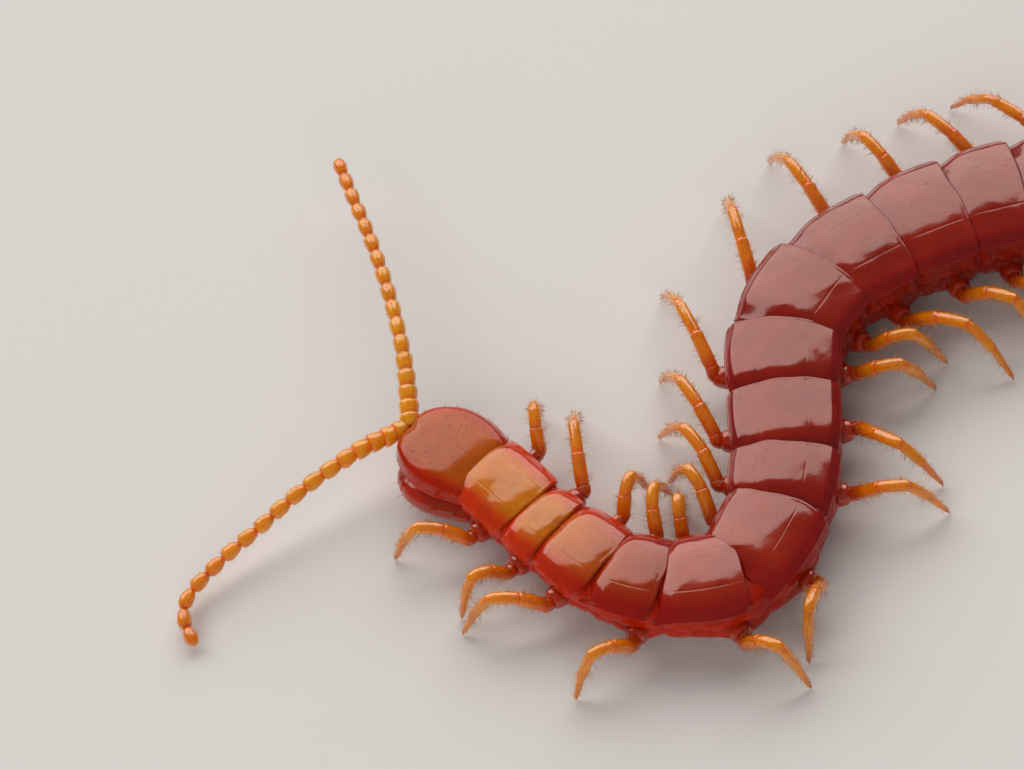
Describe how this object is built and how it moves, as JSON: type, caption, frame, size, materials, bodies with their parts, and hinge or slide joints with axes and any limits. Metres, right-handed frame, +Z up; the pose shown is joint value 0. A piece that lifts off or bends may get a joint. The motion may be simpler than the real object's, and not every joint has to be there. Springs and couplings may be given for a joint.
{
  "type": "bark centipede model",
  "caption": "Life-size still model of a bark centipede in a winding walking pose, with segmented back plates, arched legs, bead-like feelers and trailing last legs.",
  "frame": {"origin": "middle of the footprint, on the floor that the feet stand on", "axes": "+Z up; +X towards the last legs, so the head is at -X; the animal's right side faces +Y where the trunk lies along X"},
  "size_m": [0.0644, 0.0255, 0.0033],
  "materials": {
    "head": "glossy, slightly translucent cuticle",
    "claws": "glossy, slightly translucent cuticle",
    "trunk_front": "glossy, slightly translucent cuticle",
    "trunk_rear": "glossy, slightly translucent cuticle",
    "feelers": "glossy, slightly translucent cuticle",
    "legs": "glossy, slightly translucent cuticle"
  },
  "bodies": {
    "root": {"head": "head", "antenna_left": "feelers", "antenna_right": "feelers", "forcipule_base": "claws", "forcipule_left": "claws", "forcipule_right": "claws", "trunk_1": "trunk_front", "trunk_2": "trunk_front", "trunk_3": "trunk_rear", "trunk_4": "trunk_rear", "trunk_5": "trunk_rear", "trunk_6": "trunk_rear", "trunk_7": "trunk_rear", "leg_01_left": "legs", "leg_01_right": "legs", "leg_02_left": "legs", "leg_02_right": "legs", "leg_03_left": "legs", "leg_03_right": "legs", "leg_04_left": "legs", "leg_04_right": "legs", "leg_05_left": "legs", "leg_05_right": "legs", "leg_06_left": "legs", "leg_06_right": "legs", "leg_07_left": "legs", "leg_07_right": "legs", "leg_08_left": "legs", "leg_08_right": "legs", "leg_09_left": "legs", "leg_09_right": "legs", "leg_10_left": "legs", "leg_10_right": "legs", "leg_11_left": "legs", "leg_11_right": "legs", "leg_12_left": "legs", "leg_12_right": "legs", "leg_13_left": "legs", "leg_13_right": "legs", "leg_14_left": "legs", "leg_14_right": "legs", "leg_15_left": "legs", "leg_15_right": "legs", "leg_16_left": "legs", "leg_16_right": "legs", "leg_17_left": "legs", "leg_17_right": "legs", "leg_18_left": "legs", "leg_18_right": "legs", "leg_19_left": "legs", "leg_19_right": "legs", "leg_20_left": "legs", "leg_20_right": "legs", "leg_21_left": "legs", "leg_21_right": "legs", "leg_22_left": "legs", "leg_22_right": "legs", "leg_23_left": "legs", "leg_23_right": "legs"}
  },
  "joints": []
}
